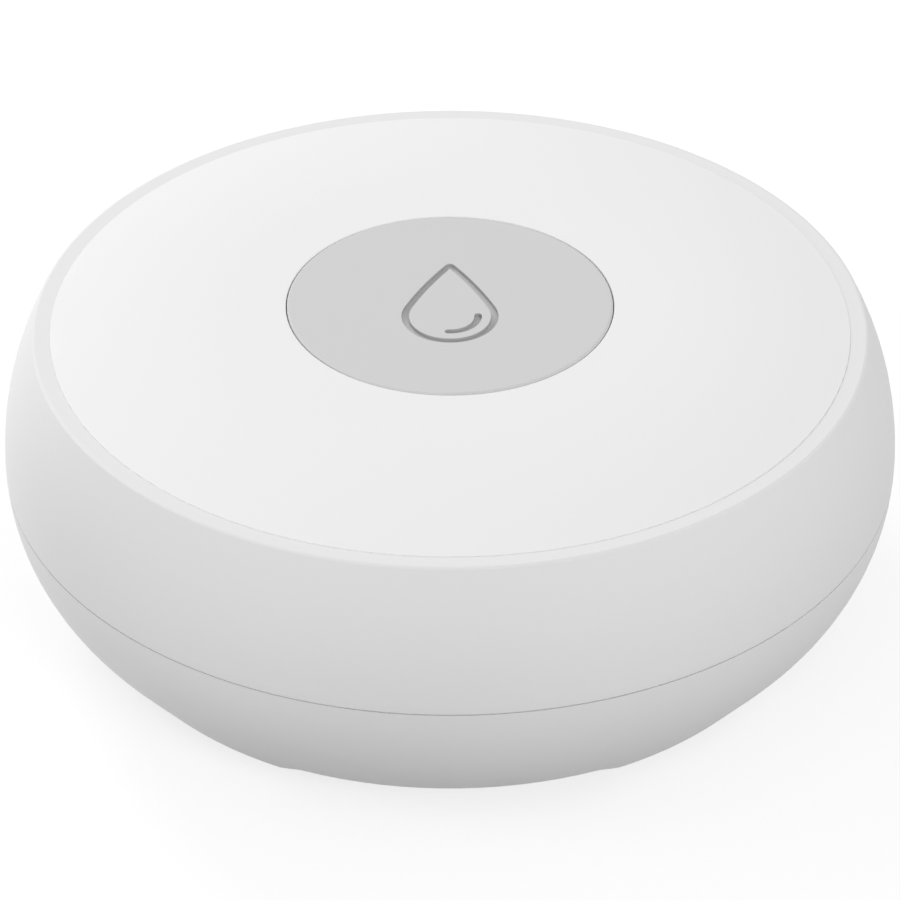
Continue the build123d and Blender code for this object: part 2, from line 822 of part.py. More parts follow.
with BuildPart() as chassis_screws:
    with BuildSketch(Plane.XY.offset(plate_low_z - screw_head_height)) as screw_heads:
        with Locations(*screw_places):
            Circle(screw_head_radius)
    extrude(amount=screw_head_height)
    chamfer(edges().group_by(Axis.Z)[0], length=screw_head_height / 4)
    with BuildSketch(Plane.XY.offset(plate_low_z)) as screw_shanks:
        with Locations(*screw_places):
            Circle(screw_shank_radius)
    extrude(amount=board_z + screw_grip - plate_low_z)
    with BuildSketch(Plane.XY.offset(plate_low_z - screw_head_height)) as screw_slots:
        with Locations(*screw_places):
            Rectangle(screw_slot_length, screw_slot_width)
            Rectangle(screw_slot_width, screw_slot_length)
    extrude(amount=screw_slot_depth, mode=Mode.SUBTRACT)
save(chassis_screws, "chassis_screws")

# Cells: the first points to +X, the second to -X
for number, side in ((1, 1), (2, -1)):
    tip_x = side * (bay_x - contact_thickness - seat_gap)
    cell_plane = Plane(origin=(tip_x, side * cell_y, cell_z), x_dir=(0, 1, 0), z_dir=(-side, 0, 0))
    with BuildPart() as cell:
        with BuildSketch(cell_plane) as nub:
            Circle(cell_nub_diameter / 2)
        extrude(amount=cell_nub_length)
        with BuildSketch(cell_plane.offset(cell_nub_length)) as can:
            Circle(cell_diameter / 2)
        extrude(amount=cell_length - cell_nub_length)
        can_edges = edges().filter_by(GeomType.CIRCLE).filter_by(
            lambda edge: edge.radius > cell_nub_diameter
        )
        fillet(can_edges, radius=cell_edge)
    save(cell, f"battery_{number}")


# A contact plate against an end wall of the bay, with its tab through the chassis and the board
def contact_plate(side, rows):
    with BuildPart() as contact:
        with BuildSketch(Plane.YZ.offset(side * bay_x)) as plate_face:
            for row in rows:
                with Locations((row * cell_y, cell_z)):
                    Rectangle(contact_width, contact_height)
                with Locations((row * cell_y, (cell_z + board_z + contact_tab_proud) / 2)):
                    Rectangle(contact_tab_width, board_z + contact_tab_proud - cell_z)
            if len(rows) > 1:
                with Locations((0, cell_z)):
                    Rectangle(2 * cell_y, contact_height / 2)
        extrude(amount=-side * contact_thickness)
    return contact


save(contact_plate(1, (1, -1)), "bridge_contact")
save(contact_plate(-1, (1,)), "negative_contact")
save(contact_plate(-1, (-1,)), "positive_contact")

# Conical springs behind the flat ends of the cells
for name, side in (("bridge_spring", 1), ("negative_spring", -1)):
    wire_radius = cell_spring_wire / 2
    root_x = side * (bay_x - contact_thickness - wire_radius)
    coil_height = cell_spring_length - cell_spring_wire - seat_gap
    centre = (root_x, -side * cell_y, cell_z)
    with BuildPart() as cell_spring:
        path = coil_path(
            cell_spring_radius,
            cell_spring_tip_radius,
            cell_spring_pitch,
            coil_height,
            centre,
            (-side, 0, 0),
        )
        with BuildSketch(Plane(path.line @ 0, z_dir=path.line % 0)) as wire:
            Circle(wire_radius)
        sweep(path=path.line, is_frenet=True)
    save(cell_spring, name)

# Springs that join the circuit board to the probes
for number, place in enumerate(probe_places, 1):
    wire_radius = contact_spring_wire / 2
    low_z = shank_top_z + seat_gap + wire_radius
    coil_height = board_low_z - seat_gap - wire_radius - low_z
    with BuildPart() as probe_spring:
        path = coil_path(
            contact_spring_radius,
            contact_spring_radius,
            contact_spring_pitch,
            coil_height,
            (*place, low_z),
            (0, 0, 1),
        )
        with BuildSketch(Plane(path.line @ 0, z_dir=path.line % 0)) as wire:
            Circle(wire_radius)
        sweep(path=path.line, is_frenet=True)
    save(probe_spring, f"probe_spring_{number}")

print("outer diameter", round(2 * max_radius, 2), "height", round(button_top_z, 2))
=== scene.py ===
import json
import math

import bpy
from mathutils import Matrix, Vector


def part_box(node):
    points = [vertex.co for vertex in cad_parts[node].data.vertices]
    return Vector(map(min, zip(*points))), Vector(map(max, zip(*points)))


# Water leak sensor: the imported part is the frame, and this script dresses it.
# Metres, Z up, the front towards -Y, the same frame as the part.
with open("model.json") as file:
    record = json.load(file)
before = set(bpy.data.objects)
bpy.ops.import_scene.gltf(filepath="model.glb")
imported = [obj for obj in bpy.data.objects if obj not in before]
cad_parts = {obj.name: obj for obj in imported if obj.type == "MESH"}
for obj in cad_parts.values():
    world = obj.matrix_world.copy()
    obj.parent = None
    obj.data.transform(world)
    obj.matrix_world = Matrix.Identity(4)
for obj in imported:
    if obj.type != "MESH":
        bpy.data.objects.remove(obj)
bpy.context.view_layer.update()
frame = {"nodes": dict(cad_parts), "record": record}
nodes = frame["nodes"]
mm = 0.001
print("frame loaded,", len(nodes), "nodes")


# Camera: a long lens that looks down on the front of the puck
camera = {
    "elevation": 34.53,  # degrees above the floor
    "distance": 380.4 * mm,  # to the point that it aims at
    "aimHeight": 12.26 * mm,  # of that point, on the axis of the puck
    "lens": 204.2,
    "sensorWidth": 36.0,
}


def addCamera():
    tilt = math.radians(camera["elevation"])
    back = Vector((0, -math.cos(tilt), math.sin(tilt)))
    spot = Vector((0, 0, camera["aimHeight"])) + camera["distance"] * back
    bpy.ops.object.camera_add(location=spot, rotation=(math.pi / 2 - tilt, 0, 0))
    viewer = bpy.context.object
    viewer.name = "photoCamera"
    viewer.data.lens = camera["lens"]
    viewer.data.sensor_width = camera["sensorWidth"]
    bpy.context.scene.camera = viewer


addCamera()
bpy.context.scene.view_settings.view_transform = "Standard"
print("camera placed")


# Short ways to build a shader tree
def grey(value):
    return (value, value, value, 1)


def addNode(tree, kind, **settings):
    made = tree.nodes.new(kind)
    for name, value in settings.items():
        setattr(made, name, value)
    return made


def feed(tree, socket, value):
    # a socket takes another node's output, or a plain value
    if isinstance(value, bpy.types.NodeSocket):
        tree.links.new(value, socket)
    else:
        socket.default_value = value


def calculate(tree, operation, *values):
    step = addNode(tree, "ShaderNodeMath", operation=operation)
    for socket, value in zip(step.inputs, values):
        feed(tree, socket, value)
    return step.outputs["Value"]


def combine(tree, operation, *values):
    step = addNode(tree, "ShaderNodeVectorMath", operation=operation)
    for socket, value in zip(step.inputs, values):
        feed(tree, socket, value)
    return step.outputs["Value" if operation in ("LENGTH", "DISTANCE") else "Vector"]


def split(tree, vector, axes="XYZ"):
    step = addNode(tree, "ShaderNodeSeparateXYZ")
    feed(tree, step.inputs["Vector"], vector)
    found = [step.outputs[axis] for axis in axes]
    return found if len(found) > 1 else found[0]


def mix(tree, kind, factor, first, second):
    step = addNode(tree, "ShaderNodeMix", data_type=kind)
    feed(tree, step.inputs["Factor"], factor)
    feed(tree, step.inputs["A"], first)
    feed(tree, step.inputs["B"], second)
    return step.outputs["Result"]


def spread(tree, value, fromLow, fromHigh, toLow, toHigh, smooth=False):
    step = addNode(tree, "ShaderNodeMapRange", interpolation_type="SMOOTHSTEP" if smooth else "LINEAR")
    for name, given in (
        ("Value", value),
        ("From Min", fromLow),
        ("From Max", fromHigh),
        ("To Min", toLow),
        ("To Max", toHigh),
    ):
        feed(tree, step.inputs[name], given)
    return step.outputs["Result"]


# Light: an even white surround, and three large soft lamps that shape the white shell a little
light = {
    "surround": 0.6,  # brightness of the surround on the object
    "background": 1.0,  # and where the camera sees it, straight, in gloss or through glass
    "lampDistance": 600 * mm,
    "lampSize": 240 * mm,
    # azimuth from the back towards the right, and elevation, in degrees; power in watts
    "lamps": {
        "leftLamp": {"azimuth": 270, "elevation": 15, "power": 0.83},
        "frontLamp": {"azimuth": 150, "elevation": 30, "power": 0.99},
        "backLamp": {"azimuth": 330, "elevation": 30, "power": 1.24},
    },
}


def addSurround():
    world = bpy.data.worlds.new("whiteSurround")
    bpy.context.scene.world = world
    world.use_nodes = True
    tree = world.node_tree
    tree.nodes.clear()
    shades = []
    for strength in (light["surround"], light["background"]):
        shade = addNode(tree, "ShaderNodeBackground")
        feed(tree, shade.inputs["Color"], grey(1))
        feed(tree, shade.inputs["Strength"], strength)
        shades.append(shade.outputs["Background"])
    output = addNode(tree, "ShaderNodeOutputWorld")
    feed(tree, output.inputs["Surface"], choose(tree, straightRays(tree), *shades))


def choose(tree, factor, first, second):
    step = addNode(tree, "ShaderNodeMixShader")
    feed(tree, step.inputs["Fac"], factor)
    feed(tree, step.inputs[1], first)
    feed(tree, step.inputs[2], second)
    return step.outputs["Shader"]


def straightRays(tree):
    # 1 for rays that show the background: from the camera, off gloss and through glass
    path = addNode(tree, "ShaderNodeLightPath").outputs
    shown = calculate(tree, "MAXIMUM", path["Is Camera Ray"], path["Is Glossy Ray"])
    return calculate(tree, "MAXIMUM", shown, path["Is Transmission Ray"])


def addLamp(name, lamp):
    azimuth = math.radians(lamp["azimuth"])
    elevation = math.radians(lamp["elevation"])
    level = math.cos(elevation)
    towards = Vector((level * math.sin(azimuth), level * math.cos(azimuth), math.sin(elevation)))
    bpy.ops.object.light_add(type="AREA", location=towards * light["lampDistance"])
    made = bpy.context.object
    made.name = name
    made.rotation_euler = towards.to_track_quat("Z", "Y").to_euler()
    made.data.shape = "DISK"
    made.data.size = light["lampSize"]
    made.data.energy = lamp["power"]
    made.visible_glossy = False  # gloss shows the white surround alone


addSurround()
for name, lamp in light["lamps"].items():
    addLamp(name, lamp)


# Floor: pale, seen as white, and it keeps the soft shadow of the puck
floor = {
    "size": 6.0,  # metres
    "bounce": 0.42,  # grey that lights the object
    "shade": 0.3,  # part of the seen colour that a shadow darkens
    "glow": 0.745,  # part that it doesn't
    "shadowReach": 150 * mm,  # from the axis: the seen floor starts to turn plain white here
    "whiteReach": 300 * mm,  # and is white from here on
    "white": 1.0,  # its brightness there
}


def diffuse(tree, tone):
    shade = addNode(tree, "ShaderNodeBsdfDiffuse")
    feed(tree, shade.inputs["Color"], grey(tone))
    return shade.outputs["BSDF"]


def glowing(tree, strength):
    glow = addNode(tree, "ShaderNodeEmission")
    feed(tree, glow.inputs["Strength"], strength)
    return glow.outputs["Emission"]


def addFloor():
    bpy.ops.mesh.primitive_plane_add(size=floor["size"], location=(0, 0, 0))
    ground = bpy.context.object
    ground.name = "paleFloor"
    paint = bpy.data.materials.new("paleFloor")
    paint.use_nodes = True
    tree = paint.node_tree
    tree.nodes.clear()
    near = addNode(tree, "ShaderNodeAddShader")
    feed(tree, near.inputs[0], diffuse(tree, floor["shade"]))
    feed(tree, near.inputs[1], glowing(tree, floor["glow"]))
    spot = addNode(tree, "ShaderNodeTexCoord").outputs["Object"]
    radius = combine(tree, "LENGTH", spot)
    far = spread(tree, radius, floor["shadowReach"], floor["whiteReach"], 0, 1, smooth=True)
    seen = choose(tree, far, near.outputs["Shader"], glowing(tree, floor["white"]))
    top = choose(tree, straightRays(tree), diffuse(tree, floor["bounce"]), seen)
    under = addNode(tree, "ShaderNodeBsdfTransparent").outputs["BSDF"]
    facing = addNode(tree, "ShaderNodeNewGeometry").outputs["Backfacing"]
    output = addNode(tree, "ShaderNodeOutputMaterial")
    feed(tree, output.inputs["Surface"], choose(tree, facing, top, under))
    ground.data.materials.append(paint)


addFloor()
print("light and floor ready")


# What the shader groups and the finishes share
pattern = {
    "cloudDetail": 4,
    "grainDetail": 2,
    "grainShare": 0.35,  # of the grain where it is blended with the clouds
    "blendLow": 0.3,  # the blend mostly stays between these two
    "blendHigh": 0.7,
    "bumpHeight": 0.02 * mm,
    "ringDetail": 3,
    "tracksAlongY": 0.5,  # share of the board's squares
    "squaresFilled": 0.7,  # share of them that have tracks
    "edgeSoftness": 0.03 * mm,
    "uprightLimit": 0.5,  # largest Z of the normal on an upright surface
    "topDepth": 0.1 * mm,  # how far below a top face its pattern reaches
    "latheLow": 0.45,  # marks show where the rings lie above this
    "latheHigh": 0.62,
    "latheStrength": 0.5,
}
margin = 1 * mm  # takes a mask well past the end of a piece
socketKinds = {"vector": "NodeSocketVector", "color": "NodeSocketColor", "value": "NodeSocketFloat"}


def startGroup(name, given, made):
    group = bpy.data.node_groups.new(name, "ShaderNodeTree")
    for side, sockets in (("INPUT", given), ("OUTPUT", made)):
        for label, kind in sockets.items():
            group.interface.new_socket(name=label, in_out=side, socket_type=socketKinds[kind])
    return group, addNode(group, "NodeGroupInput").outputs, addNode(group, "NodeGroupOutput").inputs


# Tone, roughness and fine relief that change over a surface, for plastic, rubber, metal and ceramic
def makeGrainGroup():
    group, given, made = startGroup(
        "surfaceGrain",
        {
            "Coordinates": "vector",
            "Light Tone": "color",
            "Dark Tone": "color",
            "Cloud Scale": "value",
            "Grain Scale": "value",
            "Grain Depth": "value",
            "Roughness Low": "value",
            "Roughness High": "value",
        },
        {"Color": "color", "Roughness": "value", "Normal": "vector"},
    )
    cloud = addNode(group, "ShaderNodeTexNoise")
    cloud.inputs["Detail"].default_value = pattern["cloudDetail"]
    feed(group, cloud.inputs["Vector"], given["Coordinates"])
    feed(group, cloud.inputs["Scale"], given["Cloud Scale"])
    grain = addNode(group, "ShaderNodeTexNoise")
    grain.inputs["Detail"].default_value = pattern["grainDetail"]
    feed(group, grain.inputs["Vector"], given["Coordinates"])
    feed(group, grain.inputs["Scale"], given["Grain Scale"])
    share = pattern["grainShare"]
    blend = mix(group, "FLOAT", share, cloud.outputs["Fac"], grain.outputs["Fac"])
    tone = mix(group, "RGBA", blend, given["Dark Tone"], given["Light Tone"])
    low, high = given["Roughness Low"], given["Roughness High"]
    rough = spread(group, blend, pattern["blendLow"], pattern["blendHigh"], low, high)
    bump = addNode(group, "ShaderNodeBump")
    bump.inputs["Distance"].default_value = pattern["bumpHeight"]
    feed(group, bump.inputs["Strength"], given["Grain Depth"])
    feed(group, bump.inputs["Height"], grain.outputs["Fac"])
    feed(group, made["Color"], tone)
    feed(group, made["Roughness"], rough)
    feed(group, made["Normal"], bump.outputs["Normal"])
    return group


# Marks of a lathe round an upright axis, and the distance from that axis
def makeRingGroup():
    group, given, made = startGroup(
        "turnedRings",
        {"Coordinates": "vector", "Centre": "vector", "Scale": "value"},
        {"Rings": "value", "Radius": "value"},
    )
    away = combine(group, "SUBTRACT", given["Coordinates"], given["Centre"])
    radius = combine(group, "LENGTH", combine(group, "MULTIPLY", away, (1, 1, 0)))
    noise = addNode(group, "ShaderNodeTexNoise", noise_dimensions="1D")
    noise.inputs["Detail"].default_value = pattern["ringDetail"]
    feed(group, noise.inputs["W"], radius)
    feed(group, noise.inputs["Scale"], given["Scale"])
    feed(group, made["Rings"], noise.outputs["Fac"])
    feed(group, made["Radius"], radius)
    return group


# Screw thread round an upright axis, as a height from -1 to 1
def makeThreadGroup():
    group, given, made = startGroup(
        "screwThread",
        {"Coordinates": "vector", "Centre": "vector", "Pitch": "value"},
        {"Height": "value"},
    )
    x, y, z = split(group, combine(group, "SUBTRACT", given["Coordinates"], given["Centre"]))
    turn = calculate(group, "ARCTAN2", y, x)
    climb = calculate(group, "MULTIPLY", calculate(group, "DIVIDE", z, given["Pitch"]), 2 * math.pi)
    feed(group, made["Height"], calculate(group, "SINE", calculate(group, "SUBTRACT", climb, turn)))
    return group


# 1 where a value lies between two others, with soft edges
def makeSlabGroup():
    group, given, made = startGroup(
        "slabMask",
        {"Value": "value", "From": "value", "To": "value", "Softness": "value"},
        {"Mask": "value"},
    )
    masks = []
    for edge in ("From", "To"):
        start = calculate(group, "SUBTRACT", given[edge], given["Softness"])
        end = calculate(group, "ADD", given[edge], given["Softness"])
        masks.append(spread(group, given["Value"], start, end, 0, 1, smooth=True))
    feed(group, made["Mask"], calculate(group, "SUBTRACT", *masks))
    return group


# 1 on stripes that repeat along a value
def makeStripeGroup():
    group, given, made = startGroup(
        "stripeMask",
        {"Value": "value", "Pitch": "value", "Share": "value"},
        {"Mask": "value"},
    )
    along = calculate(group, "FRACT", calculate(group, "DIVIDE", given["Value"], given["Pitch"]))
    feed(group, made["Mask"], calculate(group, "LESS_THAN", along, given["Share"]))
    return group


# Copper tracks: each square of the board has stripes along X, along Y, or none
def makeTrackGroup():
    group, given, made = startGroup(
        "boardTracks",
        {"Coordinates": "vector", "Square": "value", "Pitch": "value", "Share": "value"},
        {"Tracks": "value"},
    )
    x, y = split(group, given["Coordinates"], "XY")
    corner = addNode(group, "ShaderNodeCombineXYZ")
    masks = []
    for socket, value in (("X", x), ("Y", y)):
        feed(group, corner.inputs[socket], calculate(group, "SNAP", value, given["Square"]))
        stripe = addNode(group, "ShaderNodeGroup", node_tree=stripeGroup)
        feed(group, stripe.inputs["Value"], value)
        feed(group, stripe.inputs["Pitch"], given["Pitch"])
        feed(group, stripe.inputs["Share"], given["Share"])
        masks.append(stripe.outputs["Mask"])
    chance = addNode(group, "ShaderNodeTexWhiteNoise", noise_dimensions="3D")
    feed(group, chance.inputs["Vector"], corner.outputs["Vector"])
    first, second = split(group, chance.outputs["Color"], "XY")
    alongX = calculate(group, "GREATER_THAN", first, pattern["tracksAlongY"])
    along = mix(group, "FLOAT", alongX, *masks)
    kept = calculate(group, "LESS_THAN", second, pattern["squaresFilled"])
    feed(group, made["Tracks"], calculate(group, "MULTIPLY", along, kept))
    return group


grainGroup = makeGrainGroup()
ringGroup = makeRingGroup()
threadGroup = makeThreadGroup()
slabGroup = makeSlabGroup()
stripeGroup = makeStripeGroup()
trackGroup = makeTrackGroup()
print("shader groups ready")


# A finish starts as a grain, and further tones and reliefs are laid over it
def grainPaint(name, look):
    paint = bpy.data.materials.new(name)
    paint.use_nodes = True
    tree = paint.node_tree
    shader = tree.nodes["Principled BSDF"]
    spot = addNode(tree, "ShaderNodeTexCoord", name="place")
    stretched = combine(tree, "MULTIPLY", spot.outputs["Object"], look.get("stretch", (1, 1, 1)))
    grain = addNode(tree, "ShaderNodeGroup", node_tree=grainGroup)
    for socket, value in (
        ("Coordinates", stretched),
        ("Light Tone", look["light"]),
        ("Dark Tone", look["dark"]),
        ("Cloud Scale", look["cloud"]),
        ("Grain Scale", look["grain"]),
        ("Grain Depth", look["depth"]),
        ("Roughness Low", look["rough"][0]),
        ("Roughness High", look["rough"][1]),
    ):
        feed(tree, grain.inputs[socket], value)
    feed(tree, shader.inputs["Base Color"], grain.outputs["Color"])
    feed(tree, shader.inputs["Roughness"], grain.outputs["Roughness"])
    feed(tree, shader.inputs["Normal"], grain.outputs["Normal"])
    for socket, value in look.get("shader", {}).items():
        shader.inputs[socket].default_value = value
    return paint


def place(paint, folded=False):
    # folded: both sides of the puck read as its +X +Y quarter, for pieces that repeat in each
    tree = paint.node_tree
    here = tree.nodes["place"].outputs["Object"]
    return combine(tree, "ABSOLUTE", here) if folded else here


def useGroup(paint, group, values):
    step = addNode(paint.node_tree, "ShaderNodeGroup", node_tree=group)
    for socket, value in values.items():
        feed(paint.node_tree, step.inputs[socket], value)
    return step.outputs


def slab(paint, value, low, high):
    values = {"Value": value, "From": low, "To": high, "Softness": pattern["edgeSoftness"]}
    return useGroup(paint, slabGroup, values)["Mask"]


def topFace(paint, z, top):
    # 1 on the face at this height, and just under it
    return slab(paint, z, top - pattern["topDepth"], top + margin)


def disc(paint, radius, reach):
    # 1 within this reach of an axis
    return slab(paint, radius, -margin, reach)


def stripes(paint, value, pitch, share):
    return useGroup(paint, stripeGroup, {"Value": value, "Pitch": pitch, "Share": share})["Mask"]


def upright(paint):
    # 1 on surfaces that stand upright
    tree = paint.node_tree
    faceZ = split(tree, tree.nodes["place"].outputs["Normal"], "Z")
    return calculate(tree, "LESS_THAN", calculate(tree, "ABSOLUTE", faceZ), pattern["uprightLimit"])


def both(paint, first, second):
    return calculate(paint.node_tree, "MULTIPLY", first, second)


def outside(paint, mask):
    return calculate(paint.node_tree, "SUBTRACT", 1.0, mask)


def layOver(paint, mask, tone, roughness=None, metallic=None):
    tree = paint.node_tree
    shader = tree.nodes["Principled BSDF"]
    for name, kind, value in (
        ("Base Color", "RGBA", tone),
        ("Roughness", "FLOAT", roughness),
        ("Metallic", "FLOAT", metallic),
    ):
        if value is not None:
            socket = shader.inputs[name]
            below = socket.links[0].from_socket if socket.links else socket.default_value
            feed(tree, socket, mix(tree, kind, mask, below, value))


def addRelief(paint, height, depth):
    tree = paint.node_tree
    normal = tree.nodes["Principled BSDF"].inputs["Normal"]
    bump = addNode(tree, "ShaderNodeBump")
    bump.inputs["Distance"].default_value = depth
    feed(tree, bump.inputs["Height"], height)
    feed(tree, bump.inputs["Normal"], normal.links[0].from_socket)
    feed(tree, normal, bump.outputs["Normal"])


def middle(name, folded=False):
    # centre of a node's box; folded takes the same quarter as place does
    low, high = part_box(name)
    centre = (Vector(low) + Vector(high)) / 2
    return Vector(abs(value) for value in centre) if folded else centre


paints = {}

# White plastic of the shells, with a fine spark-eroded grain
shellWhite = {
    "light": grey(0.85), "dark": grey(0.832), "cloud": 60, "grain": 5200, "depth": 0.12,
    "rough": (0.46, 0.54),
}
paints["shell_white"] = grainPaint("shellWhite", shellWhite)

# The cover is a little whiter and smoother
coverWhite = {
    "light": grey(0.905), "dark": grey(0.89), "cloud": 50, "grain": 6400, "depth": 0.08,
    "rough": (0.40, 0.47),
}
paints["cover_white"] = grainPaint("coverWhite", coverWhite)

# Grey button; the groove of the water drop has painted shade, darker than the face, and painted shadow
# on its walls, darkest
buttonGrey = {
    "light": grey(0.668), "dark": grey(0.65), "cloud": 90, "grain": 6400, "depth": 0.12,
    "rough": (0.48, 0.56),
    # painted shade in the groove, and painted shadow on its walls
    "grooveShadeTone": grey(0.57),
    "wallShadowTone": grey(0.44),
    "grooveRoughness": 0.6,
    "dropReach": 9 * mm,  # from the axis
    "faceDepth": 0.06 * mm,  # under the face, where the darker tones start
    "grooveDepth": 1 * mm,  # where they end
}


def makeButtonGrey():
    paint = grainPaint("buttonGrey", buttonGrey)
    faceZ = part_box("button_cap")[1][2]
    z = split(paint.node_tree, place(paint), "Z")
    radius = useGroup(paint, ringGroup, {"Coordinates": place(paint)})["Radius"]
    deep = slab(paint, z, faceZ - buttonGrey["grooveDepth"], faceZ - buttonGrey["faceDepth"])
    inner = disc(paint, radius, buttonGrey["dropReach"])
    groove = both(paint, deep, inner)
    # painted shade over the groove, then painted shadow over its upright walls
    layOver(paint, groove, buttonGrey["grooveShadeTone"], buttonGrey["grooveRoughness"])
    layOver(paint, both(paint, groove, upright(paint)), buttonGrey["wallShadowTone"])
    return paint


paints["button_grey"] = makeButtonGrey()

# Clear-white silicone sheet under the button
sealSilicone = {
    "light": (0.78, 0.79, 0.78, 1), "dark": (0.72, 0.73, 0.72, 1), "cloud": 180, "grain": 2500,
    "depth": 0.15, "rough": (0.5, 0.62),
    "shader": {"Subsurface Weight": 0.25, "Subsurface Scale": 0.6 * mm},
}
paints["seal_silicone"] = grainPaint("sealSilicone", sealSilicone)

# Black rubber of the sealing rings
sealRubber = {
    "light": grey(0.035), "dark": grey(0.022), "cloud": 500, "grain": 4500, "depth": 0.3,
    "rough": (0.55, 0.7),
}
paints["seal_rubber"] = grainPaint("sealRubber", sealRubber)

# Grey rubber feet, with fine moulded rings that grip the floor, and painted shade in the hollows
# between the rings
padRubber = {
    "light": grey(0.12), "dark": grey(0.085), "cloud": 500, "grain": 4000, "depth": 0.35,
    "rough": (0.62, 0.8),
    "ringPitch": 0.5 * mm,
    "ringShare": 0.55,
    "ringDepth": 0.06 * mm,
    "hollowShadeTone": grey(0.065),
}


def makePadRubber():
    paint = grainPaint("padRubber", padRubber)
    values = {"Coordinates": place(paint, folded=True), "Centre": middle("foot_pad_1", folded=True)}
    radius = useGroup(paint, ringGroup, values)["Radius"]
    ridge = stripes(paint, radius, padRubber["ringPitch"], padRubber["ringShare"])
    addRelief(paint, ridge, padRubber["ringDepth"])
    # painted shade: the hollows between the rings are darker
    layOver(paint, outside(paint, ridge), padRubber["hollowShadeTone"])
    return paint


paints["pad_rubber"] = makePadRubber()


# Turned metal: lathe rings on the faces, and a thread from threadLow up
def turnedMetal(name, look, centre, threadLow):
    paint = grainPaint(name, look)
    tree = paint.node_tree
    quarter = place(paint, folded=True)
    rings = useGroup(
        paint, ringGroup, {"Coordinates": quarter, "Centre": centre, "Scale": look["ringScale"]}
    )["Rings"]
    z = split(tree, place(paint), "Z")
    shank = calculate(tree, "GREATER_THAN", z, threadLow)
    thread = useGroup(
        paint, threadGroup, {"Coordinates": quarter, "Centre": centre, "Pitch": look["pitch"]}
    )["Height"]
    addRelief(paint, both(paint, thread, shank), look["threadDepth"])
    addRelief(paint, rings, look["ringDepth"])
    low, high = pattern["latheLow"], pattern["latheHigh"]
    marks = spread(tree, rings, low, high, 0, pattern["latheStrength"])
    layOver(paint, marks, look["markTone"], look["markRoughness"])
    return paint


# Steel of the probes: the head is under the floor, and the thread starts above it
probeSteel = {
    "light": (0.63, 0.62, 0.6, 1), "dark": (0.54, 0.53, 0.515, 1), "cloud": 420, "grain": 9000,
    "depth": 0.08, "rough": (0.2, 0.32), "shader": {"Metallic": 1.0},
    "pitch": 0.4 * mm,
    "threadDepth": 0.08 * mm,
    "ringScale": 9000,
    "ringDepth": 0.006 * mm,
    "markTone": (0.46, 0.45, 0.44, 1),
    "markRoughness": 0.38,
}
probeCentre = middle("probe_1", folded=True)
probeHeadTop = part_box("probe_seal_1")[0][2]
paints["probe_steel"] = turnedMetal("probeSteel", probeSteel, probeCentre, probeHeadTop)

# Steel of the screws, with their heads down
screwSteel = {
    "light": (0.56, 0.57, 0.58, 1), "dark": (0.44, 0.45, 0.47, 1), "cloud": 600, "grain": 9000,
    "depth": 0.15, "rough": (0.28, 0.42), "shader": {"Metallic": 1.0},
    "headHeight": 1.3 * mm,
    "headRadius": 1.9 * mm,
    "pitch": 0.5 * mm,
    "threadDepth": 0.12 * mm,
    "ringScale": 7000,
    "ringDepth": 0.01 * mm,
    "markTone": (0.36, 0.37, 0.38, 1),
    "markRoughness": 0.5,
}
screwLow, screwHigh = (Vector(corner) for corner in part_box("chassis_screws"))
screwCentre = screwHigh - Vector((1, 1, 1)) * screwSteel["headRadius"]
screwHeadTop = screwLow.z + screwSteel["headHeight"]
paints["screw_steel"] = turnedMetal("screwSteel", screwSteel, screwCentre, screwHeadTop)

# Brass of the nuts on the probes
nutBrass = {
    "light": (0.78, 0.58, 0.25, 1), "dark": (0.62, 0.43, 0.17, 1), "cloud": 600, "grain": 8000,
    "depth": 0.12, "rough": (0.24, 0.38), "shader": {"Metallic": 1.0},
    "pitch": 0.4 * mm,
    "threadDepth": 0.0,
    "ringScale": 8000,
    "ringDepth": 0.01 * mm,
    "markTone": (0.5, 0.35, 0.14, 1),
    "markRoughness": 0.45,
}
paints["nut_brass"] = turnedMetal("nutBrass", nutBrass, probeCentre, probeHeadTop)

# Drawn spring wire
springSteel = {
    "light": (0.6, 0.59, 0.57, 1), "dark": (0.42, 0.41, 0.4, 1), "cloud": 700, "grain": 12000,
    "depth": 0.2, "rough": (0.25, 0.42), "shader": {"Metallic": 1.0},
}
paints["spring_steel"] = grainPaint("springSteel", springSteel)

# Nickel-plated contact strip, rolled along Y, with solder on the ends above the board
contactNickel = {
    "light": (0.68, 0.65, 0.6, 1), "dark": (0.57, 0.54, 0.49, 1), "cloud": 300, "grain": 9000,
    "depth": 0.15, "rough": (0.2, 0.36), "shader": {"Metallic": 1.0}, "stretch": (1, 0.08, 1),
    "solderTone": (0.5, 0.5, 0.51, 1),
    "solderRoughness": 0.3,
    "solderHeight": 2 * mm,
}


def makeContactNickel():
    paint = grainPaint("contactNickel", contactNickel)
    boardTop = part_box("circuit_board")[1][2]
    z = split(paint.node_tree, place(paint), "Z")
    soldered = slab(paint, z, boardTop, boardTop + contactNickel["solderHeight"])
    layOver(paint, soldered, contactNickel["solderTone"], contactNickel["solderRoughness"])
    return paint


paints["contact_nickel"] = makeContactNickel()

# Uncoloured plastic of the chassis
chassisPlastic = {
    "light": (0.6, 0.585, 0.54, 1), "dark": (0.55, 0.535, 0.49, 1), "cloud": 90, "grain": 4200,
    "depth": 0.18, "rough": (0.42, 0.52),
}
paints["chassis_plastic"] = grainPaint("chassisPlastic", chassisPlastic)


# Circuit boards: tracks under the solder mask, and the bare core at the edge
def boardPaint(name, look):
    paint = grainPaint(name, look)
    values = {
        "Coordinates": place(paint),
        "Square": look["square"],
        "Pitch": look["pitch"],
        "Share": look["share"],
    }
    tracks = useGroup(paint, trackGroup, values)["Tracks"]
    layOver(paint, tracks, look["trackTone"])
    addRelief(paint, tracks, look["trackDepth"])
    layOver(paint, upright(paint), look["coreTone"], look["coreRoughness"])
    return paint


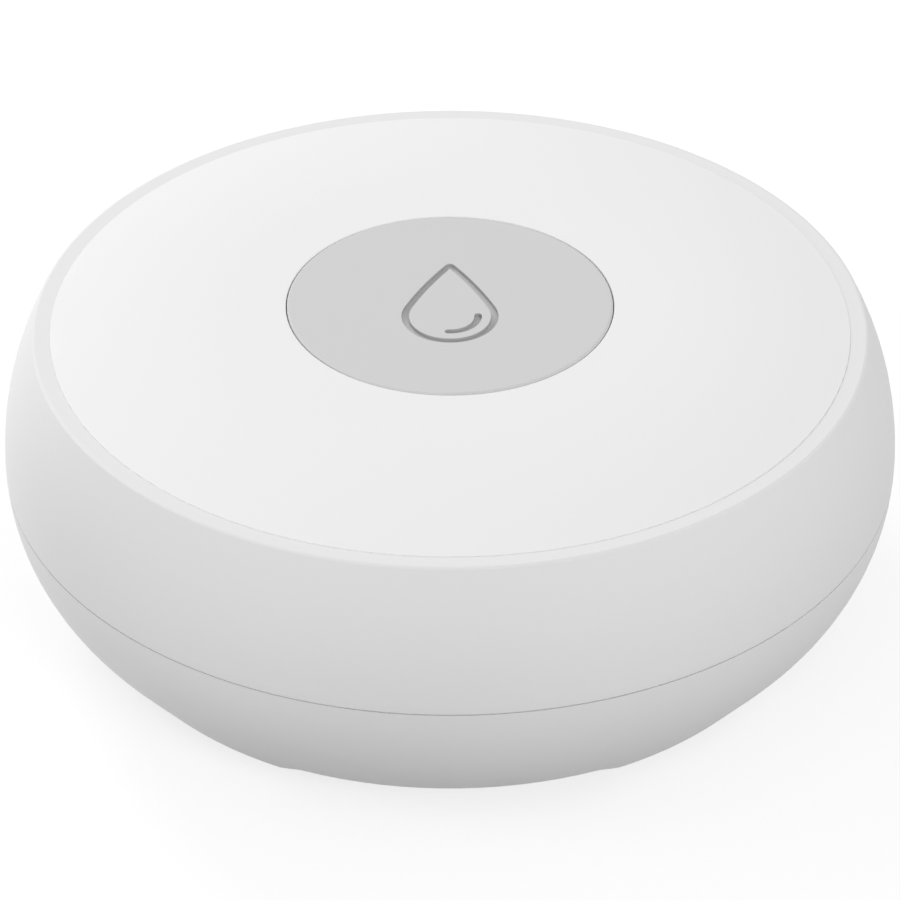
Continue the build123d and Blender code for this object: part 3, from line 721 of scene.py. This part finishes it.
# Main board, with a tinned pad round each screw
boardGreen = {
    "light": (0.028, 0.185, 0.075, 1), "dark": (0.018, 0.14, 0.055, 1), "cloud": 150, "grain": 5000,
    "depth": 0.1, "rough": (0.24, 0.34),
    "trackTone": (0.05, 0.27, 0.115, 1),
    "trackDepth": 0.03 * mm,
    "square": 3.2 * mm,
    "pitch": 0.8 * mm,
    "share": 0.42,
    "coreTone": (0.5, 0.42, 0.22, 1),
    "coreRoughness": 0.7,
    "padTone": (0.7, 0.7, 0.68, 1),
    "padRoughness": 0.35,
    "padInner": 0.9 * mm,
    "padOuter": 2.0 * mm,
}


def makeBoardGreen():
    paint = boardPaint("boardGreen", boardGreen)
    values = {"Coordinates": place(paint, folded=True), "Centre": screwCentre}
    radius = useGroup(paint, ringGroup, values)["Radius"]
    pad = slab(paint, radius, boardGreen["padInner"], boardGreen["padOuter"])
    layOver(paint, pad, boardGreen["padTone"], boardGreen["padRoughness"], metallic=1.0)
    return paint


paints["board_green"] = makeBoardGreen()

# Radio board, with gold half-holes along its two long sides
moduleBoard = {
    "light": (0.012, 0.045, 0.095, 1), "dark": (0.008, 0.03, 0.065, 1), "cloud": 200, "grain": 6000,
    "depth": 0.1, "rough": (0.22, 0.32),
    "trackTone": (0.02, 0.075, 0.15, 1),
    "trackDepth": 0.02 * mm,
    "square": 1.8 * mm,
    "pitch": 0.5 * mm,
    "share": 0.4,
    "coreTone": (0.45, 0.4, 0.24, 1),
    "coreRoughness": 0.7,
    "goldTone": (0.85, 0.62, 0.25, 1),
    "goldRoughness": 0.25,
    "goldReach": 0.5 * mm,
    "goldPitch": 1.27 * mm,
    "goldShare": 0.55,
}


def makeModuleBoard():
    paint = boardPaint("moduleBoard", moduleBoard)
    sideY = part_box("radio_board")[1][1]
    x, y = split(paint.node_tree, place(paint, folded=True), "XY")
    rim = slab(paint, y, sideY - moduleBoard["goldReach"], sideY + margin)
    holes = both(paint, rim, stripes(paint, x, moduleBoard["goldPitch"], moduleBoard["goldShare"]))
    layOver(paint, holes, moduleBoard["goldTone"], moduleBoard["goldRoughness"], metallic=1.0)
    return paint


paints["module_board"] = makeModuleBoard()

# Tin-plated shield with a grid of small vent holes, painted as near-black discs of painted shade
shieldTin = {
    "light": (0.66, 0.67, 0.68, 1), "dark": (0.56, 0.57, 0.58, 1), "cloud": 250, "grain": 8000,
    "depth": 0.12, "rough": (0.26, 0.4), "shader": {"Metallic": 1.0}, "stretch": (0.12, 1, 1),
    "holePitch": 2.2 * mm,
    "holeRadius": 0.3 * mm,
    "holeShadeTone": grey(0.02),
    "holeRoughness": 0.8,
    "holeMargin": 1.2 * mm,
}


def makeShieldTin():
    paint = grainPaint("shieldTin", shieldTin)
    tree = paint.node_tree
    low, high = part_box("radio_shield")
    centre = middle("radio_shield")
    x, y, z = split(tree, place(paint))
    offsets = []
    inside = topFace(paint, z, high[2])
    for value, axis in ((x, 0), (y, 1)):
        start = low[axis] + shieldTin["holeMargin"]
        end = high[axis] - shieldTin["holeMargin"]
        inside = both(paint, inside, slab(paint, value, start, end))
        away = calculate(tree, "SUBTRACT", value, centre[axis])
        offsets.append(calculate(tree, "PINGPONG", away, shieldTin["holePitch"] / 2))
    across, along = (calculate(tree, "MULTIPLY", value, value) for value in offsets)
    distance = calculate(tree, "SQRT", calculate(tree, "ADD", across, along))
    hole = both(paint, inside, calculate(tree, "LESS_THAN", distance, shieldTin["holeRadius"]))
    # painted shade: each vent hole is a near-black disc on the tin
    layOver(paint, hole, shieldTin["holeShadeTone"], shieldTin["holeRoughness"], metallic=0.0)
    return paint


paints["shield_tin"] = makeShieldTin()

# Switch: black body under a tin cover plate that four rivets hold
switchBlack = {
    "light": grey(0.03), "dark": grey(0.018), "cloud": 400, "grain": 6000, "depth": 0.2,
    "rough": (0.38, 0.5),
    "plateThickness": 0.3 * mm,
    "plateTone": (0.6, 0.6, 0.61, 1),
    "plateRoughness": 0.32,
    "rivetInset": 0.8 * mm,
    "rivetRadius": 0.42 * mm,
    "rivetTone": grey(0.025),
    "rivetRoughness": 0.5,
}


def makeSwitchBlack():
    paint = grainPaint("switchBlack", switchBlack)
    high = Vector(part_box("switch_body")[1])
    z = split(paint.node_tree, place(paint), "Z")
    plate = slab(paint, z, high.z - switchBlack["plateThickness"], high.z + margin)
    layOver(paint, plate, switchBlack["plateTone"], switchBlack["plateRoughness"], metallic=1.0)
    rivetCentre = high - Vector((1, 1, 1)) * switchBlack["rivetInset"]
    values = {"Coordinates": place(paint, folded=True), "Centre": rivetCentre}
    radius = useGroup(paint, ringGroup, values)["Radius"]
    rivet = both(paint, plate, disc(paint, radius, switchBlack["rivetRadius"]))
    layOver(paint, rivet, switchBlack["rivetTone"], switchBlack["rivetRoughness"], metallic=0.0)
    return paint


paints["switch_black"] = makeSwitchBlack()

# Pale brown plastic of the plunger
switchStem = {
    "light": (0.5, 0.42, 0.3, 1), "dark": (0.44, 0.36, 0.25, 1), "cloud": 500, "grain": 6000,
    "depth": 0.15, "rough": (0.36, 0.46),
}
paints["switch_stem"] = grainPaint("switchStem", switchStem)

# Moulded black package, with tinned feet at the board and a dimple over its first foot
chipBlack = {
    "light": grey(0.035), "dark": grey(0.022), "cloud": 500, "grain": 9000, "depth": 0.35,
    "rough": (0.5, 0.64),
    "footHeight": 0.22 * mm,
    "footPitch": 0.5 * mm,
    "footShare": 0.5,
    "footTone": (0.68, 0.68, 0.67, 1),
    "footRoughness": 0.3,
    "dimpleInset": 0.85 * mm,
    "dimpleRadius": 0.35 * mm,
    "dimpleTone": grey(0.05),
    "dimpleRoughness": 0.3,
}


def makeChipBlack():
    paint = grainPaint("chipBlack", chipBlack)
    low, high = (Vector(corner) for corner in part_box("controller_chip"))
    x, y, z = split(paint.node_tree, place(paint))
    foot = slab(paint, z, low.z - margin, low.z + chipBlack["footHeight"])
    for value in (x, y):
        foot = both(paint, foot, stripes(paint, value, chipBlack["footPitch"], chipBlack["footShare"]))
    layOver(paint, foot, chipBlack["footTone"], chipBlack["footRoughness"], metallic=1.0)
    centre = high - Vector((1, 1, 1)) * chipBlack["dimpleInset"]
    radius = useGroup(paint, ringGroup, {"Coordinates": place(paint), "Centre": centre})["Radius"]
    dimple = disc(paint, radius, chipBlack["dimpleRadius"])
    layOver(paint, dimple, chipBlack["dimpleTone"], chipBlack["dimpleRoughness"])
    return paint


paints["chip_black"] = makeChipBlack()

# Buzzer: black case with moulded rings round its sound port
buzzerBlack = {
    "light": grey(0.04), "dark": grey(0.026), "cloud": 300, "grain": 6000, "depth": 0.22,
    "rough": (0.4, 0.52),
    "ringPitch": 1.1 * mm,
    "ringShare": 0.2,
    "ringDepth": 0.08 * mm,
}


def makeBuzzerBlack():
    paint = grainPaint("buzzerBlack", buzzerBlack)
    values = {"Coordinates": place(paint), "Centre": middle("buzzer")}
    radius = useGroup(paint, ringGroup, values)["Radius"]
    ring = stripes(paint, radius, buzzerBlack["ringPitch"], buzzerBlack["ringShare"])
    addRelief(paint, ring, buzzerBlack["ringDepth"])
    return paint


paints["buzzer_black"] = makeBuzzerBlack()


# Small parts with metal ends: the middle is body, and what lies past it is plated
def endsPaint(name, look, nodeName):
    paint = grainPaint(name, look)
    low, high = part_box(nodeName)
    x = split(paint.node_tree, place(paint), "X")
    body = slab(paint, x, low[0] + look["endLength"], high[0] - look["endLength"])
    layOver(paint, outside(paint, body), look["endTone"], look["endRoughness"], metallic=1.0)
    return paint


# Lens of the status light, between its two metal ends
ledLens = {
    "light": (0.82, 0.76, 0.5, 1), "dark": (0.76, 0.69, 0.42, 1), "cloud": 900, "grain": 9000,
    "depth": 0.1, "rough": (0.16, 0.24), "shader": {"Subsurface Weight": 0.3, "Coat Weight": 0.4},
    "endLength": 0.35 * mm,
    "endTone": (0.72, 0.72, 0.7, 1),
    "endRoughness": 0.3,
}
paints["led_lens"] = endsPaint("ledLens", ledLens, "status_led")

# Ceramic of the antenna, with metal lines across its top
antennaCeramic = {
    "light": (0.78, 0.77, 0.74, 1), "dark": (0.7, 0.69, 0.66, 1), "cloud": 600, "grain": 7000,
    "depth": 0.12, "rough": (0.3, 0.42),
    "endLength": 0.6 * mm,
    "endTone": (0.7, 0.7, 0.69, 1),
    "endRoughness": 0.3,
    "linePitch": 1.0 * mm,
    "lineShare": 0.35,
    "lineTone": (0.62, 0.6, 0.55, 1),
    "lineRoughness": 0.3,
}


def makeAntennaCeramic():
    paint = endsPaint("antennaCeramic", antennaCeramic, "antenna")
    x, z = split(paint.node_tree, place(paint), "XZ")
    top = topFace(paint, z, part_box("antenna")[1][2])
    lines = stripes(paint, x, antennaCeramic["linePitch"], antennaCeramic["lineShare"])
    tone, roughness = antennaCeramic["lineTone"], antennaCeramic["lineRoughness"]
    layOver(paint, both(paint, top, lines), tone, roughness, metallic=1.0)
    return paint


paints["antenna_ceramic"] = makeAntennaCeramic()

# Orange case of the capacitor, with a dark bar across its top
capacitorCase = {
    "light": (0.62, 0.36, 0.09, 1), "dark": (0.52, 0.29, 0.065, 1), "cloud": 500, "grain": 6500,
    "depth": 0.25, "rough": (0.36, 0.48),
    "endLength": 0.12 * mm,
    "endTone": (0.7, 0.7, 0.68, 1),
    "endRoughness": 0.3,
    "barFrom": 0.4 * mm,
    "barTo": 1.2 * mm,
    "barTone": (0.16, 0.07, 0.02, 1),
}


def makeCapacitorCase():
    paint = endsPaint("capacitorCase", capacitorCase, "capacitor")
    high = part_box("capacitor")[1]
    x, z = split(paint.node_tree, place(paint), "XZ")
    bar = slab(paint, x, high[0] - capacitorCase["barTo"], high[0] - capacitorCase["barFrom"])
    layOver(paint, both(paint, bar, topFace(paint, z, high[2])), capacitorCase["barTone"])
    return paint


paints["capacitor_case"] = makeCapacitorCase()

# Cells: a plain graphite sleeve with a copper band at the positive end, and bare metal ends
cellSleeve = {
    "light": (0.045, 0.05, 0.058, 1), "dark": (0.03, 0.034, 0.04, 1), "cloud": 120, "grain": 3500,
    "depth": 0.1, "rough": (0.24, 0.34),
    "capTone": (0.66, 0.65, 0.63, 1),
    "capRoughness": 0.26,
    "capLength": 0.55 * mm,
    "nubLength": 1.0 * mm,
    "bandLength": 10 * mm,
    "bandTone": (0.72, 0.36, 0.17, 1),
    "bandRoughness": 0.3,
    "bandMetallic": 0.6,
    "lineLength": 0.7 * mm,
    "lineTone": (0.72, 0.71, 0.68, 1),
    "lineRoughness": 0.35,
}


def makeCellSleeve():
    paint = grainPaint("cellSleeve", cellSleeve)
    tree = paint.node_tree
    low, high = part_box("battery_1")
    x, y = split(tree, place(paint), "XY")
    # the cell at +Y points to +X and the one at -Y to -X, so this counts towards either tip
    along = calculate(tree, "MULTIPLY", x, calculate(tree, "SIGN", y))
    shoulder = high[0] - cellSleeve["nubLength"] - cellSleeve["capLength"]
    bandStart = shoulder - cellSleeve["bandLength"]
    band = slab(paint, along, bandStart, shoulder)
    tone, roughness = cellSleeve["bandTone"], cellSleeve["bandRoughness"]
    layOver(paint, band, tone, roughness, cellSleeve["bandMetallic"])
    line = slab(paint, along, bandStart - cellSleeve["lineLength"], bandStart)
    layOver(paint, line, cellSleeve["lineTone"], cellSleeve["lineRoughness"])
    ends = outside(paint, slab(paint, along, low[0] + cellSleeve["capLength"], shoulder))
    layOver(paint, ends, cellSleeve["capTone"], cellSleeve["capRoughness"], metallic=1.0)
    return paint


paints["cell_sleeve"] = makeCellSleeve()

# White foam of the adhesive ring
tapeWhite = {
    "light": (0.8, 0.8, 0.78, 1), "dark": (0.7, 0.7, 0.68, 1), "cloud": 700, "grain": 3000,
    "depth": 0.6, "rough": (0.7, 0.85),
}
paints["tape_white"] = grainPaint("tapeWhite", tapeWhite)

for part in frame["record"]["subparts"]:
    piece = nodes[part["node"]]
    piece.data.materials.clear()
    piece.data.materials.append(paints[part["material_slot"]])
print("materials ready,", len(paints), "finishes")
